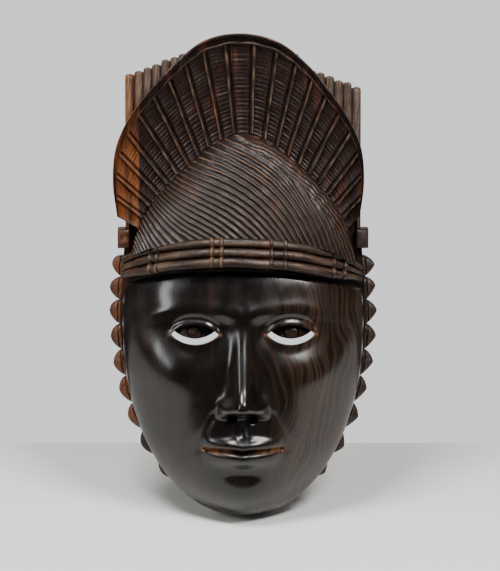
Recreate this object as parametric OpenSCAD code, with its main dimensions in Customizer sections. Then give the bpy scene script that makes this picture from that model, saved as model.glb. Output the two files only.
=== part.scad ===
// Carved wall mask: a hollow face under a corded headband, a ridged cap, a ribbed fan crest
// and reeded hair, on a flat backboard edged with a fringe of scallops and hung by a ring.
// X is to the viewer's right, Z is up and the mask looks along -Y. Y = 0 is the wall.
// Z = 0 is the brow line, at the front of the headband's lower edge.

/* [Backboard] */
// Thickness of the board that everything stands on
board_t = 12; // [10:0.5:20]
// How far the board stands out beside the face
board_ledge = 1.5; // [0.5:0.5:6]
// Half the width of the board behind the headdress
board_head_w = 74; // [70:0.5:78]
// Height of the board's widest level, below the brow line
board_cheek_drop = 30; // [20:1:40]
// How far the chin reaches below the board
chin_over = 8; // [2:1:14]

/* [Face] */
// Full width of the face
face_w = 152; // [140:1:156]
// Depth of the chin, below the brow line
chin_drop = 162; // [150:1:170]
// How far the forehead stands off the wall
face_d = 53; // [46:0.5:60]
// Height of the face's upright side, off the wall
face_side_d = 16; // [14:0.5:20]
// Thickness of the hollow face's wall
face_wall = 9; // [6:0.5:12]

/* [Eyes] */
// Distance between the two eyes' centres
eye_spacing = 60; // [56:1:64]
// Drop of the eyes' centres below the brow line
eye_drop = 43; // [40:0.5:48]
// Width of an eye opening
eye_w = 30; // [26:0.5:32]
// Height of an eye opening
eye_h = 12.5; // [11:0.25:14]
// Height of the sight slit under an eyeball, at its middle
slit_h = 3.6; // [2.5:0.1:3.9]
// Depth of the eyeball's front behind the eyelids
eye_recess = 2.2; // [1:0.1:3]

/* [Headband] */
// Radius of one cord of the headband
cord_r = 3.1; // [2.5:0.1:3.6]
// How far the middle of the headband stands off the wall
band_d = 58; // [55:0.5:62]
// Angle by which the headband falls towards the ears
band_tilt = 21; // [15:1:25]
// Angle by which the headband sits askew, lower on the right
band_roll = 1.5; // [-2:0.5:3]
// How far the ends of its cords are let into the board's face
cord_seat = 0.5; // [0.3:0.1:1.5]
// How far the headband's ends stop short of the board's edge
band_inset = 2.5; // [0.5:0.5:6]
// Width of one tie across the headband
tie_w = 3; // [2:0.1:4]
// Thickness of a tie in front of the cords
tie_t = 1.4; // [0.8:0.1:2]

/* [Cap] */
// How far the cap's dome stands off the wall at its middle
cap_d = 52; // [50:0.5:56]
// How far the cap's edge stands off the wall
cap_edge_d = 25; // [23:0.5:30]

/* [Crest] */
// How far the fan stands off the wall beside the cap
crest_root_d = 21; // [19:0.5:22.5]
// How far the fan's rim stands off the wall, at the top
crest_rim_d = 34; // [28:0.5:40]
// Thickness of the fan at its rim
crest_wall = 7; // [5:0.5:9]
// Height of the raised rim on the fan
rim_h = 2.4; // [1:0.1:4]
// Width of the raised rim, as a share of the fan
rim_share = 0.12; // [0.08:0.01:0.2]
// Number of ribs on the fan
rib_count = 20; // [12:2:26]
// Width of one rib, as a share of its panel
rib_share = 0.2; // [0.1:0.02:0.3]
// Height of a rib on the fan
rib_h = 1.2; // [0.6:0.1:2]

/* [Reeded hair] */
// Width of one reed
reed_w = 5.6; // [4:0.1:5.7]
// Number of reeds on each side
reed_count = 7; // [4:1:8]
// Height of the outermost reed on the left, above the brow line
left_reed_top = 119; // [105:1:125]
// Height of the outermost reed on the right, above the brow line
right_reed_top = 111; // [105:1:125]
// Rise from one reed to the next, towards the middle
reed_rise = 1.8; // [0.5:0.1:3]

/* [Fringe] */
// Number of scallops on each side
scallop_count = 11; // [8:1:13]
// How far a scallop stands out of the board's edge
scallop_out = 6.5; // [4:0.5:9]
// Depth of a scallop, front to back
scallop_t = 10; // [6:0.5:11]
// How much longer each scallop is than the one above it
scallop_growth = 0.78; // [0:0.02:1.2]
// Gap between neighbouring scallops
scallop_gap = 0.5; // [0.2:0.1:1]

/* [Hanger] */
// Height of the hanging ring's pivot, above the brow line
hang_z = 96; // [85:1:100]
// Depth of the pocket in the board's back
pocket_d = 7; // [6.5:0.1:8]
// Radius of the ring's wire
wire_r = 1; // [0.8:0.1:1.2]
// Half the width of the ring, to the middle of its wire
ring_r = 9; // [7:0.5:10]
// Length of the ring's straight sides
ring_leg = 2.5; // [1:0.5:5]
// Thickness of the hanger's strap
strap_t = 1; // [0.8:0.1:1.5]
// Width of the strap
strap_w = 11; // [9:0.5:12]
// Radius of a screw's shank
screw_r = 1.25; // [1:0.05:1.5]
// Length of a screw in the wood
screw_len = 4; // [3:0.5:5]
// Radius of a screw's head
screw_head_r = 2.5; // [2:0.1:3]

/* [Fits] */
// Gap between carved pieces that stand side by side on the board
seam = 0.3; // [0.2:0.05:0.6]
// Clearance between the ring's wire and the strap's eye
ring_play = 0.08; // [0.03:0.01:0.1]

/* [Hidden] */
scallop_names_left = [for (i = [1:scallop_count]) str("left_scallop_", i)];
scallop_names_right = [for (i = [1:scallop_count]) str("right_scallop_", i)];
tie_angles = [-41, -37.5, -12.8, -8.8, 11.3, 17, 39.8, 45.8]; // about the headband's axis, in pairs
tie_names = [for (i = [1:len(tie_angles)]) str("band_tie_", i)];
cord_names = ["band_cord_lower", "band_cord_middle", "band_cord_upper"];
far = 400; // longer than anything here

ebony = [0.17, 0.11, 0.08];
heartwood = [0.28, 0.18, 0.12];
sapwood = [0.55, 0.34, 0.18];
steel = [0.7, 0.68, 0.62];

// ---------- curves ----------

function mix(a, b, t) = a + (b - a) * t;
function bell(d, w) = exp(-(d / w) ^ 2);
function ease(t) = let(c = min(1, max(0, t))) c * c * (3 - 2 * c);

// A smooth curve through points p, where u runs from 0 to len(p) - 1. The half curve that
// starts at the middle of the mask is met by its own mirror image.
function half_curve(p, u) =
    let(last = len(p) - 1, i = min(floor(u), last - 1), t = u - i,
        a = i == 0 ? [-p[1][0], p[1][1]] : p[i - 1], b = p[i], c = p[i + 1],
        d = i + 2 > last ? 2 * p[last] - p[last - 1] : p[i + 2])
    0.5 * (2 * b + (c - a) * t + (2 * a - 5 * b + 4 * c - d) * t ^ 2
        + (3 * b - a - 3 * c + d) * t ^ 3);

// The same curve on both sides: s runs from -1 at the left end, over 0 at the top, to 1, and
// the right half ends at the point numbered last.
function arch(p, s, last) =
    let(q = half_curve(p, abs(s) * last)) [s < 0 ? -q[0] : q[0], q[1]];

// Right halves of the cap's edge and the fan's outer edge, from the top down, evenly spaced.
// The fan meets the cap from its top to the last point but one, above the cap's foot.
cap_half = [[0, 81], [17, 74.5], [31.5, 63.5], [45, 51], [57, 37], [65.5, 21], [70.5, 2]];
fan_half = [[0, 144], [21.5, 139.5], [39, 126], [54, 110], [67.5, 92.5], [76.5, 73],
    [78.5, 51], [76, 29]];

// A point at angle a of an oval of half width w and half height h, squarer as n grows from 2.
function oval(a, w, h, n) =
    [w * sign(cos(a)) * abs(cos(a)) ^ (2 / n), h * sign(sin(a)) * abs(sin(a)) ^ (2 / n)];

// ---------- the headband's slanting frame ----------

// The headband is one arc from the board's edge over the forehead to the other edge.
board_cheek_w = face_w / 2 + board_ledge;
band_half_w = board_cheek_w - band_inset;
band_rise = band_d - (board_t + cord_r - cord_seat);
band_r = (band_half_w ^ 2 + band_rise ^ 2) / (2 * band_rise);

// Children are placed about the axis of the headband's curve, where lift is measured square to
// the headband's lower face.
module band_frame(lift = 0) {
    translate([0, -band_d, 0]) rotate([0, band_roll, 0]) rotate([-band_tilt, 0, 0])
        translate([0, band_r, lift]) children();
}
module above_band(lift) {
    band_frame(lift) translate([-far / 2, -far / 2, 0]) cube(far);
}
cord_pitch = 2 * cord_r + 0.1;
band_h = 3 * cord_pitch;
module inside_band() {
    intersection() {
        children();
        translate([-band_half_w, -far - board_t, -far / 2]) cube([2 * band_half_w, far, far]);
    }
}

// ---------- solids over a grid ----------

// Corners of each cell of a grid of nu by nv cells, and the points round its outside.
function grid_cells(nu, nv) =
    let(w = nv + 1) [for (i = [0:nu - 1], j = [0:nv - 1])
        [i * w + j, i * w + j + 1, (i + 1) * w + j + 1, (i + 1) * w + j]];
function grid_ring(nu, nv) =
    let(w = nv + 1) concat([for (i = [0:nu - 1]) i * w], [for (j = [0:nv - 1]) nu * w + j],
        [for (i = [nu:-1:1]) i * w + nv], [for (j = [nv:-1:1]) j]);

// A closed solid between two surfaces over such a grid. Both surfaces are functions of the two
// grid numbers that give [x, depth, z]. The depth is measured from the wall.
module slab(nu, nv, near, deep) {
    n = (nu + 1) * (nv + 1);
    function out(p) = [p[0], -p[1], p[2]];
    cells = grid_cells(nu, nv);
    ring = grid_ring(nu, nv);
    polyhedron(
        points = concat([for (i = [0:nu], j = [0:nv]) out(near(i, j))],
            [for (i = [0:nu], j = [0:nv]) out(deep(i, j))]),
        faces = concat(
            [for (c = cells) [c[0], c[1], c[2]]], [for (c = cells) [c[0], c[2], c[3]]],
            [for (c = cells) [c[2] + n, c[1] + n, c[0] + n]],
            [for (c = cells) [c[3] + n, c[2] + n, c[0] + n]],
            [for (k = [0:len(ring) - 1]) let(a = ring[k], b = ring[(k + 1) % len(ring)])
                [a, b, b + n]],
            [for (k = [0:len(ring) - 1]) let(a = ring[k], b = ring[(k + 1) % len(ring)])
                [a, b + n, a + n]]));
}

// A closed solid from a surface like those above back to a flat face at depth d.
module mound(nu, nv, near, d) {
    w = nv + 1;
    n = (nu + 1) * w;
    ring = grid_ring(nu, nv);
    last = len(ring);
    polyhedron(
        points = concat([for (i = [0:nu], j = [0:nv]) let(p = near(i, j)) [p[0], -p[1], p[2]]],
            [for (k = ring) let(p = near(floor(k / w), k % w)) [p[0], -d, p[2]]]),
        faces = concat(
            [for (c = grid_cells(nu, nv)) [c[0], c[1], c[2]]],
            [for (c = grid_cells(nu, nv)) [c[0], c[2], c[3]]],
            [for (k = [0:last - 1]) [ring[k], ring[(k + 1) % last], n + (k + 1) % last]],
            [for (k = [0:last - 1]) [ring[k], n + (k + 1) % last, n + k]],
            [[for (k = [last - 1:-1:0]) n + last - 1 - k]]));
}

// ---------- backboard ----------

board_cheek_z = -board_cheek_drop;
board_lower_h = chin_drop - chin_over - board_cheek_drop;
board_round = 2.1;
board_steps = 64;
function board_point(a) = [0, board_cheek_z] + oval(a, board_cheek_w, board_lower_h, board_round);
lug_z = 8.5;
lug_h = 12;
temple_z = lug_z + lug_h + seam; // where the board's sides turn upright and the reeds begin
reed_inner = board_head_w - reed_count * reed_w;
reed_front = board_t + reed_w / 2;
function reed_top(side, i) = (side < 0 ? left_reed_top : right_reed_top) + i * reed_rise;
board_top = left_reed_top + reed_count * reed_rise - 2;

// The fan is seated on the board up to one share of the way to its outer edge, and stands
// clear of the reeds from a slightly larger share on.
seat_share = 0.5;
clear_share = 0.57;
function fan_root(s) = arch(cap_half, s, len(cap_half) - 2);
function fan_end(s) = arch(fan_half, s, len(fan_half) - 1);
fan_steps = 40;
clear_outline = concat([for (i = [-fan_steps:fan_steps])
        let(s = i / fan_steps) mix(fan_root(s), fan_end(s), clear_share)],
    [[board_head_w, 0], [-board_head_w, 0]]);

module reed_bar(side, i) {
    x = board_head_w - (i + 1) * reed_w;
    translate([side > 0 ? x : -x - reed_w, temple_z])
        square([reed_w, reed_top(side, i) - temple_z]);
}
module reed_area(side, i) {
    difference() {
        reed_bar(side, i);
        polygon(clear_outline);
    }
}
module board_outline() {
    difference() {
        union() {
            polygon(concat([for (i = [0:board_steps]) board_point(180 + 180 * i / board_steps)],
                [[board_head_w, temple_z], [-board_head_w, temple_z]]));
            translate([-board_head_w, temple_z - 1])
                square([2 * board_head_w, board_top - temple_z + 1]);
        }
        for (side = [-1, 1], i = [0:reed_count - 1]) {
            reed_area(side, i);
            translate([side > 0 ? reed_inner : -board_head_w, reed_top(side, i)])
                square([board_head_w - reed_inner, far]);
        }
    }
}

// Faces forward: turns a flat outline in X and Z into a plate from depth d0 to depth d1.
module plate(d0, d1) {
    translate([0, -d0, 0]) rotate([90, 0, 0]) linear_extrude(d1 - d0) children();
}

// The board is open behind the hollow of the face, along that hollow's own edge.
module hollow_outline() {
    polygon(concat([for (i = [hollow_first:hollow_last]) [-hollow_w(face_z(i)), face_z(i)]],
        [for (i = [hollow_last:-1:hollow_first]) [hollow_w(face_z(i)), face_z(i)]]));
}

pocket_w = 2 * (ring_r + wire_r + 3);
pocket_up = ring_leg + ring_r + wire_r + 4;
// Drops below the ring's pivot: one screw sits inside the hanging ring and one clear below it.
bend_r = 2.2;
ring_clear = 1.3;
screw_drops = [7, bend_r + ring_leg + ring_r + wire_r + ring_clear + screw_head_r];
strap_down = screw_drops[1] + 3.5;
pocket_down = strap_down + 3;

module backboard() {
    color(heartwood) difference() {
        plate(0, board_t) board_outline();
        plate(-1, board_t + 1) hollow_outline();
        translate([-pocket_w / 2, -pocket_d, hang_z - pocket_down])
            cube([pocket_w, pocket_d + 1, pocket_up + pocket_down]);
        for (drop = screw_drops)
            translate([0, -pocket_d + 1, hang_z - drop]) rotate([90, 0, 0])
                cylinder(r = screw_r, h = screw_len + 1, $fn = 32);
    }
}

// ---------- face ----------

face_cheek_z = -40;
face_top_z = 12;
face_top_h = face_top_z - face_cheek_z;
face_low_h = chin_drop + face_cheek_z;
face_boxy = 3.2; // shape of the outline above the cheeks
face_round = 2.05; // and below them
// How far out towards that outline a point is, from 0 at the middle to 1 on the outline.
function face_share(x, z) =
    let(up = z > face_cheek_z, n = up ? face_boxy : face_round,
        h = up ? face_top_h : face_low_h)
    ((abs(x) / (face_w / 2)) ^ n + (abs(z - face_cheek_z) / h) ^ n) ^ (1 / n);
function face_half_width(z) =
    let(up = z > face_cheek_z, n = up ? face_boxy : face_round, h = up ? face_top_h : face_low_h)
    face_w / 2 * (1 - min(0.998, abs(z - face_cheek_z) / h) ^ n) ^ (1 / n);

// The plain head under the features, rounded over to its upright side at the outline.
crown_z = -50; // the level at which the profile stands furthest out
function head_depth(x, z) =
    face_d - (z > crown_z ? 0.0018 : 0.0008) * (z - crown_z) ^ 2
    - 20 * (abs(x) / face_half_width(z)) ^ 2.2;
function roll(r) = (1 - min(1, r) ^ 6) ^ 0.45;

// Levels of the features, as shares of the way from the brow line to the chin.
eye_z = -eye_drop;
brow_z = -0.17 * chin_drop;
nose_root = -0.21 * chin_drop;
nose_tip = -0.53 * chin_drop;
nose_base = -0.585 * chin_drop;
mouth_z = -0.715 * chin_drop;
crease_z = -0.8 * chin_drop;
chin_z = -0.89 * chin_drop;
cheek_z = -0.46 * chin_drop;
mouth_w = 23;
function nose(x, z) =
    let(t = max(0, (nose_root - z) / (nose_root - nose_tip)))
    15 * min(1.02, t) ^ 1.15 * ease((z - nose_base) / 8) * exp(-(abs(x) / (5.5 + 3 * t)) ^ 2.6)
    + 7 * bell(abs(x) - 10.5, 5) * bell(z - nose_base - 6, 5.5);
function lips(x, z) =
    let(across = max(0, 1 - (x / mouth_w) ^ 2) ^ 0.6)
    across * (5 * bell(z - mouth_z - 4.5, 4) + 5.5 * bell(z - mouth_z + 5, 4.4)
    - 4 * bell(z - mouth_z, 2.4));
function features(x, z) =
    let(ex = abs(x) - eye_spacing / 2)
    2.2 * bell(z - brow_z + 0.006 * ex ^ 2, 5) * ease((50 - abs(ex)) / 20)
    - 7 * bell(ex, 19) * bell(z - eye_z, 10) + 4.5 * bell(ex, 13) * bell(z - eye_z, 7)
    + 2.5 * bell(abs(x) - 40, 18) * bell(z - cheek_z, 16)
    + 5 * bell(x, 17) * bell(z - chin_z, 11) - 2.5 * bell(x, 16) * bell(z - crease_z, 4.5)
    + nose(x, z) + lips(x, z);

// The grid's rows run level and lie closer together towards the chin.
face_high_z = 6;
face_rows = 46;
function face_z(i) =
    let(t = i / face_rows)
    mix(face_high_z, face_cheek_z - face_low_h * 0.998, 0.75 * t + 0.25 * sin(90 * t));

// The hollow is smaller than the face all round by the face's wall. It starts below the headband
// and stops where it is half as wide as the chin.
hollow_share = 1 - face_wall / (face_w / 2);
hollow_high_z = -27;
hollow_least = 0.45;
function hollow_inner(z) =
    let(q = abs(z - face_cheek_z) / (z > face_cheek_z ? face_top_h : face_low_h) / hollow_share,
        n = z > face_cheek_z ? face_boxy : face_round)
    q < 1 ? hollow_share * face_w / 2 * (1 - q ^ n) ^ (1 / n) : 0;
function hollow_w(z) = max(hollow_inner(z), hollow_least * face_half_width(z));
hollow_rows = [for (i = [0:face_rows]) let(z = face_z(i))
    if (z < hollow_high_z && hollow_inner(z) > hollow_least * face_half_width(z)) i];
hollow_first = hollow_rows[0] - 1;
hollow_last = hollow_rows[len(hollow_rows) - 1] + 1;

// Its columns lie closer together along the nose and at the outline. One column on each side
// follows the edge of the hollow, and the last few cross the seat on the board.
face_cols = 36;
seat_cols = 2;
hollow_cols = face_cols / 2 - seat_cols;
function spread(t) = 0.6 * t + 0.2 * (1 - cos(180 * t));
function face_x(j, z) =
    let(k = j - face_cols / 2, n = abs(k))
    sign(k) * (n <= hollow_cols ? hollow_w(z) * spread(n / hollow_cols)
        : mix(hollow_w(z), face_half_width(z), (n - hollow_cols) / seat_cols));
function face_near(i, j) =
    let(z = face_z(i), x = face_x(j, z))
    [x, mix(face_side_d, head_depth(x, z) + features(x, z), roll(face_share(x, z))), z];
function face_deep(i, j) =
    let(z = face_z(i), x = face_x(j, z))
    [x, i <= hollow_first || i >= hollow_last || abs(j - face_cols / 2) >= hollow_cols ? board_t
        : mix(board_t, head_depth(x, z) - face_wall, roll(face_share(x, z) / hollow_share)), z];

// An almond between two arcs, drawn with enough points to be smooth.
almond_r = (eye_w ^ 2 / 4 + eye_h ^ 2 / 4) / eye_h;
almond_steps = 14;
function lid_z(x) = sqrt(almond_r ^ 2 - x ^ 2) - almond_r + eye_h / 2;
lid_upper = [for (i = [0:almond_steps]) let(x = eye_w * (i / almond_steps - 0.5)) [x, lid_z(x)]];
module eye_opening() {
    polygon(concat(lid_upper, [for (i = [almond_steps - 1:-1:1])
        let(x = eye_w * (i / almond_steps - 0.5)) [x, -lid_z(x)]]));
}
// The eyeball fills the opening down to a sight slit.
module eyeball_outline() {
    polygon(concat([for (p = lid_upper) if (p[1] >= slit_h / 2 - 0.001) p],
        [for (i = [almond_steps:-1:0]) let(x = eye_w * (i / almond_steps - 0.5))
            if (lid_z(x) >= slit_h / 2 + 0.2) [x, slit_h - lid_z(x)]]));
}
module at_eye(side) {
    translate([side * eye_spacing / 2, 0, eye_z]) children();
}

module face_shell() {
    color(ebony) difference() {
        slab(face_rows, face_cols, function(i, j) face_near(i, j),
            function(i, j) face_deep(i, j));
        above_band(-seam);
        for (side = [-1, 1]) at_eye(side) plate(board_t + 4, far / 2) eye_opening();
    }
}

eyeball_r = 17;
iris_r = 4;
eyelid_d = head_depth(eye_spacing / 2, eye_z) + features(eye_spacing / 2, eye_z);
eye_front_d = eyelid_d - eye_recess;
eye_back_d = eye_front_d - 8;
module eye(side) {
    color(sapwood) at_eye(side) union() {
        intersection() {
            plate(eye_back_d, far / 2) eyeball_outline();
            translate([0, eyeball_r - eye_front_d, 0]) sphere(r = eyeball_r, $fn = 96);
        }
        translate([0, -eye_front_d - 0.5, 1.2]) rotate([-90, 0, 0])
            cylinder(r = iris_r, h = 3, $fn = 48);
    }
}
module left_eye() { eye(-1); }
module right_eye() { eye(1); }

// ---------- headband ----------

cord_gap = 0.1; // between a cord and the core behind it
tie_gap = 0.02; // between a tie and the cords behind it
tie_inset = 0.4; // of a tie's ends inside the headband's height

module band_core() {
    color(ebony) inside_band() band_frame()
        cylinder(r = band_r - cord_r - cord_gap, h = band_h, $fn = 128);
}
module band_cord(level) {
    color(heartwood) inside_band() band_frame()
        translate([0, 0, (level + 0.5) * cord_pitch])
        rotate_extrude(angle = 360, $fn = 160) translate([band_r, 0]) circle(r = cord_r, $fn = 40);
}
module band_tie(a) {
    half = tie_w / 2 / band_r * 180 / PI;
    color(heartwood) band_frame() rotate([0, 0, a - half - 90])
        rotate_extrude(angle = 2 * half, $fn = 160)
        translate([band_r + cord_r + tie_gap, tie_inset]) square([tie_t, band_h - 2 * tie_inset]);
}

// ---------- cap ----------

cap_steps = 40;
cap_rings = 18;
function cap_share(j) = 1 - (1 - j / cap_rings) ^ 1.5;
function cap_near(i, j) =
    let(r = mix(0.03, 1, cap_share(j)), p = r * arch(cap_half, i / cap_steps - 1,
        len(cap_half) - 1))
    [p[0], mix(cap_edge_d, cap_d, (1 - min(1, r) ^ 2.2) ^ 0.62), p[1]];
module cap() {
    color(heartwood) intersection() {
        mound(2 * cap_steps, cap_rings, function(i, j) cap_near(i, j), board_t);
        above_band(band_h + seam);
    }
}

// ---------- crest ----------

panel_count = rib_count + 1;
// The fan's grid has one narrow cell under each rib and two cells on each panel between them.
cell_edges = [for (k = [0:panel_count - 1])
    let(lo = k == 0 ? 0 : k + rib_share / 2, hi = k == panel_count - 1 ? panel_count
        : k + 1 - rib_share / 2)
    each [lo, (lo + hi) / 2, hi]];
function fan_s(i) = 2 * cell_edges[i] / panel_count - 1;
fan_ts = [0, 0.12, 0.25, 0.37, seat_share, clear_share, 0.66, 0.77, 1 - rim_share, 1];
rim_cell = len(fan_ts) - 2;
fan_cells = len(cell_edges) - 1;
function fan_front(s, t) = mix(crest_root_d, crest_rim_d - 8 * s ^ 4, t ^ 1.6);
function fan_back(s, t) =
    t <= seat_share ? board_t
    : mix(reed_front + seam, fan_front(s, 1) - crest_wall, (t - clear_share) / (1 - clear_share));
function fan_xz(s, t) =
    let(p = fan_root(s), d = fan_end(s) - p) p + d * mix(seam / norm(d), 1, t);
function on_fan(i, j, lift) =
    let(s = fan_s(i), t = fan_ts[j], p = fan_xz(s, t)) [p[0], fan_front(s, t) + lift, p[1]];
function behind_fan(i, j) =
    let(s = fan_s(i), t = fan_ts[j], p = fan_xz(s, t)) [p[0], fan_back(s, t), p[1]];

module crest() {
    color(heartwood) slab(fan_cells, len(fan_ts) - 1, function(i, j) on_fan(i, j, 0),
        function(i, j) behind_fan(i, j));
}
module crest_rim() {
    color(ebony) slab(fan_cells, 1, function(i, j) on_fan(i, rim_cell + j, rim_h),
        function(i, j) on_fan(i, rim_cell + j, 0));
}
module crest_ribs() {
    color(ebony) for (k = [0:rib_count - 1])
        slab(1, rim_cell, function(i, j) on_fan(3 * k + 2 + i, j, rib_h),
            function(i, j) on_fan(3 * k + 2 + i, j, 0));
}

// ---------- reeded hair ----------

module reeds(side) {
    color(side < 0 ? sapwood : heartwood) intersection() {
        union() {
            plate(0, board_t + 0.01) for (i = [0:reed_count - 1]) reed_bar(side, i);
            for (i = [0:reed_count - 1])
                translate([side * (board_head_w - (i + 0.5) * reed_w), -board_t, temple_z])
                    cylinder(r = reed_w / 2 - 0.02, h = reed_top(side, i) - temple_z, $fn = 40);
        }
        plate(0, reed_front + 1) for (i = [0:reed_count - 1]) reed_area(side, i);
    }
}
module left_reeds() { reeds(-1); }
module right_reeds() { reeds(1); }

// ---------- lugs and fringe ----------

lug_w = 7.5;
lug_d = 21;
module lug(side) {
    x = board_head_w - 2.7;
    color(side < 0 ? sapwood : heartwood) difference() {
        translate([side > 0 ? x : -x - lug_w, -lug_d, lug_z]) cube([lug_w, lug_d - 2, lug_h]);
        plate(0, board_t) board_outline();
    }
}
module left_lug() { lug(-1); }
module right_lug() { lug(1); }

// The fringe runs down the board's edge from the temple to the bottom. Points along the edge are
// stepped off closely, so that a length along it can be turned into a place.
fringe_top_z = 3;
fringe_steps = 120;
fringe_line = concat([for (i = [0:8])
        let(z = mix(fringe_top_z, board_cheek_z, i / 8),
            share = (z - board_cheek_z) / (temple_z - board_cheek_z))
        [mix(board_cheek_w, board_head_w, share), z]],
    [for (i = [1:fringe_steps]) board_point(-90 * i / fringe_steps)]);
function run(n) = n == 0 ? 0 : run(n - 1) + norm(fringe_line[n] - fringe_line[n - 1]);
fringe_runs = [for (n = [0:len(fringe_line) - 1]) run(n)];
fringe_length = fringe_runs[len(fringe_runs) - 1];
function along(l, n = 0) =
    n >= len(fringe_line) - 2 || fringe_runs[n + 1] >= l
    ? mix(fringe_line[n], fringe_line[n + 1], (l - fringe_runs[n])
        / (fringe_runs[n + 1] - fringe_runs[n]))
    : along(l, n + 1);
first_pitch = fringe_length / scallop_count - scallop_growth * (scallop_count - 1) / 2;
function scallop_start(i) = i * first_pitch + scallop_growth * i * (i - 1) / 2;

// One scallop: full above its middle and flatter below, like an overlapping scale.
scallop_points = 12;
function scallop_shape(u) = sin(180 * u ^ 0.78) ^ 0.75;
module scallop(side, i) {
    a = along(scallop_start(i));
    b = along(min(fringe_length, scallop_start(i + 1)));
    d = (b - a) / norm(b - a);
    out = [-d[1], d[0]];
    from = a + d * scallop_gap / 2;
    to = b - d * scallop_gap / 2;
    color(side < 0 ? sapwood : heartwood) mirror([side < 0 ? 1 : 0, 0, 0])
        plate(1, 1 + scallop_t) difference() {
            polygon(concat([from - out * 3], [for (k = [0:scallop_points])
                let(u = k / scallop_points)
                mix(from, to, u) + out * (scallop_out * scallop_shape(u) + 0.8)],
                [to - out * 3]));
            board_outline();
        }
}

// ---------- hanger ----------

knuckle_r = wire_r + ring_play + strap_t;
pivot_d = pocket_d - knuckle_r;
head_t = 1.2;
module at_pivot() {
    translate([0, -pivot_d, hang_z]) children();
}
module hanger_strap() {
    color(steel) at_pivot() difference() {
        union() {
            rotate([0, 90, 0]) cylinder(r = knuckle_r, h = strap_w, center = true, $fn = 48);
            translate([-strap_w / 2, -knuckle_r, -strap_down]) cube([strap_w, strap_t, strap_down]);
        }
        rotate([0, 90, 0])
            cylinder(r = wire_r + ring_play, h = strap_w + 2, center = true, $fn = 48);
        for (drop = screw_drops)
            translate([0, 0, -drop]) rotate([90, 0, 0]) cylinder(r = screw_r, h = far / 4, $fn = 32);
    }
}
module hanger_screws() {
    color(steel) for (drop = screw_drops) translate([0, 0, hang_z - drop]) rotate([90, 0, 0]) {
        translate([0, 0, pocket_d - strap_t]) cylinder(r = screw_r, h = screw_len + strap_t, $fn = 32);
        translate([0, 0, pocket_d - strap_t - head_t]) cylinder(r = screw_head_r, h = head_t, $fn = 48);
    }
}
// The ring hangs from its pivot: a straight bar, two bends, two short legs and a half circle.
module wire(l) { cylinder(r = wire_r, h = l, $fn = 40); }
module bend(r, turn) {
    rotate_extrude(angle = turn, $fn = 96) translate([r, 0]) circle(r = wire_r, $fn = 40);
}
module hanging_ring() {
    color(steel) at_pivot() union() {
        translate([-(ring_r - bend_r), 0, 0]) rotate([0, 90, 0]) wire(2 * (ring_r - bend_r));
        for (side = [-1, 1]) {
            mirror([side < 0 ? 1 : 0, 0, 0]) translate([ring_r - bend_r, 0, -bend_r])
                rotate([90, 0, 0]) bend(bend_r, 90);
            translate([side * ring_r, 0, -bend_r - ring_leg]) wire(ring_leg);
        }
        translate([0, 0, -bend_r - ring_leg]) rotate([-90, 0, 0]) bend(ring_r, 180);
    }
}

// ---------- every piece ----------

backboard();
face_shell();
left_eye();
right_eye();
band_core();
for (i = [0:len(cord_names) - 1])
    band_cord(i);
for (i = [0:len(tie_names) - 1])
    band_tie(tie_angles[i]);
cap();
crest();
crest_rim();
crest_ribs();
left_reeds();
right_reeds();
left_lug();
right_lug();
for (i = [0:scallop_count - 1]) {
    scallop(-1, i);
    scallop(1, i);
}
hanger_strap();
hanger_screws();
hanging_ring();
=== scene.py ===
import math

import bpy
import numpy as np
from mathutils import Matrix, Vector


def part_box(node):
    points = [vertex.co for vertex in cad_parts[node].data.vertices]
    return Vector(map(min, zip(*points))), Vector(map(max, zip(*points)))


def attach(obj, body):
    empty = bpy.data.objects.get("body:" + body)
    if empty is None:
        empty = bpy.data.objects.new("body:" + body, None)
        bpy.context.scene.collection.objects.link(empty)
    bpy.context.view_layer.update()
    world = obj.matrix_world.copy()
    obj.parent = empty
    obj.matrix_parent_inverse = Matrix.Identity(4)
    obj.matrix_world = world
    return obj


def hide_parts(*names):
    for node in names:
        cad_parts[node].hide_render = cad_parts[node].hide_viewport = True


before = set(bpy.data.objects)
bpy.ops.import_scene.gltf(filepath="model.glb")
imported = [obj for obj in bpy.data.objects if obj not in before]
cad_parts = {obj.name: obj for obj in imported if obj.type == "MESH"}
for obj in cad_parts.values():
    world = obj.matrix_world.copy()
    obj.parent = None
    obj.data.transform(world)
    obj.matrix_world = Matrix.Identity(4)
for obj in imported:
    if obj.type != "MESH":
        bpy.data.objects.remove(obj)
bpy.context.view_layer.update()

# A carved ebony wall mask, modelled round the imported frame.
#
# X is to the viewer's right, Z is up and the mask looks along -Y. The wall is at Y = 0. Shapes are
# worked out in millimetres, and every carved surface starts as a flat grid whose points are set by
# a formula, since the real surfaces are cut freehand and have no flat faces.
#
# A grid's u runs from -1 at the left to 1 at the right, and its v from -1 at the foot to 1 at the
# top. "Depth" is how far a point stands off the wall. Each point also carries a shading value
# from 0 to 1. At 0, the bottom of a cut, the carved wood gets painted shade. At 1, a crest or
# edge, it is painted lighter, partly as rubbed wear and partly as painted highlight.

MM = 0.001


def limits(node):
    """Ranges of x, depth and z of a CAD node in millimetres. Depth is measured off the wall."""
    low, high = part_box(node)
    return (low.x / MM, high.x / MM), (-high.y / MM, -low.y / MM), (low.z / MM, high.z / MM)


# ---------------------------------------------------------------- sizes

_, (_, BOARD_T), _ = limits("backboard")
(_, FACE_HALF), _, (CHIN_Z, _) = limits("face_shell")

# The headband's curve as the CAD has it: its radius, its front off the wall and how it slants.
BAND_R = 86.5
BAND_D = 58.0
BAND_TILT = math.radians(21)
BAND_ROLL = math.radians(1.5)
CORD_R = 3.1
CORD_PITCH = 6.3
BAND_H = 3 * CORD_PITCH

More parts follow.
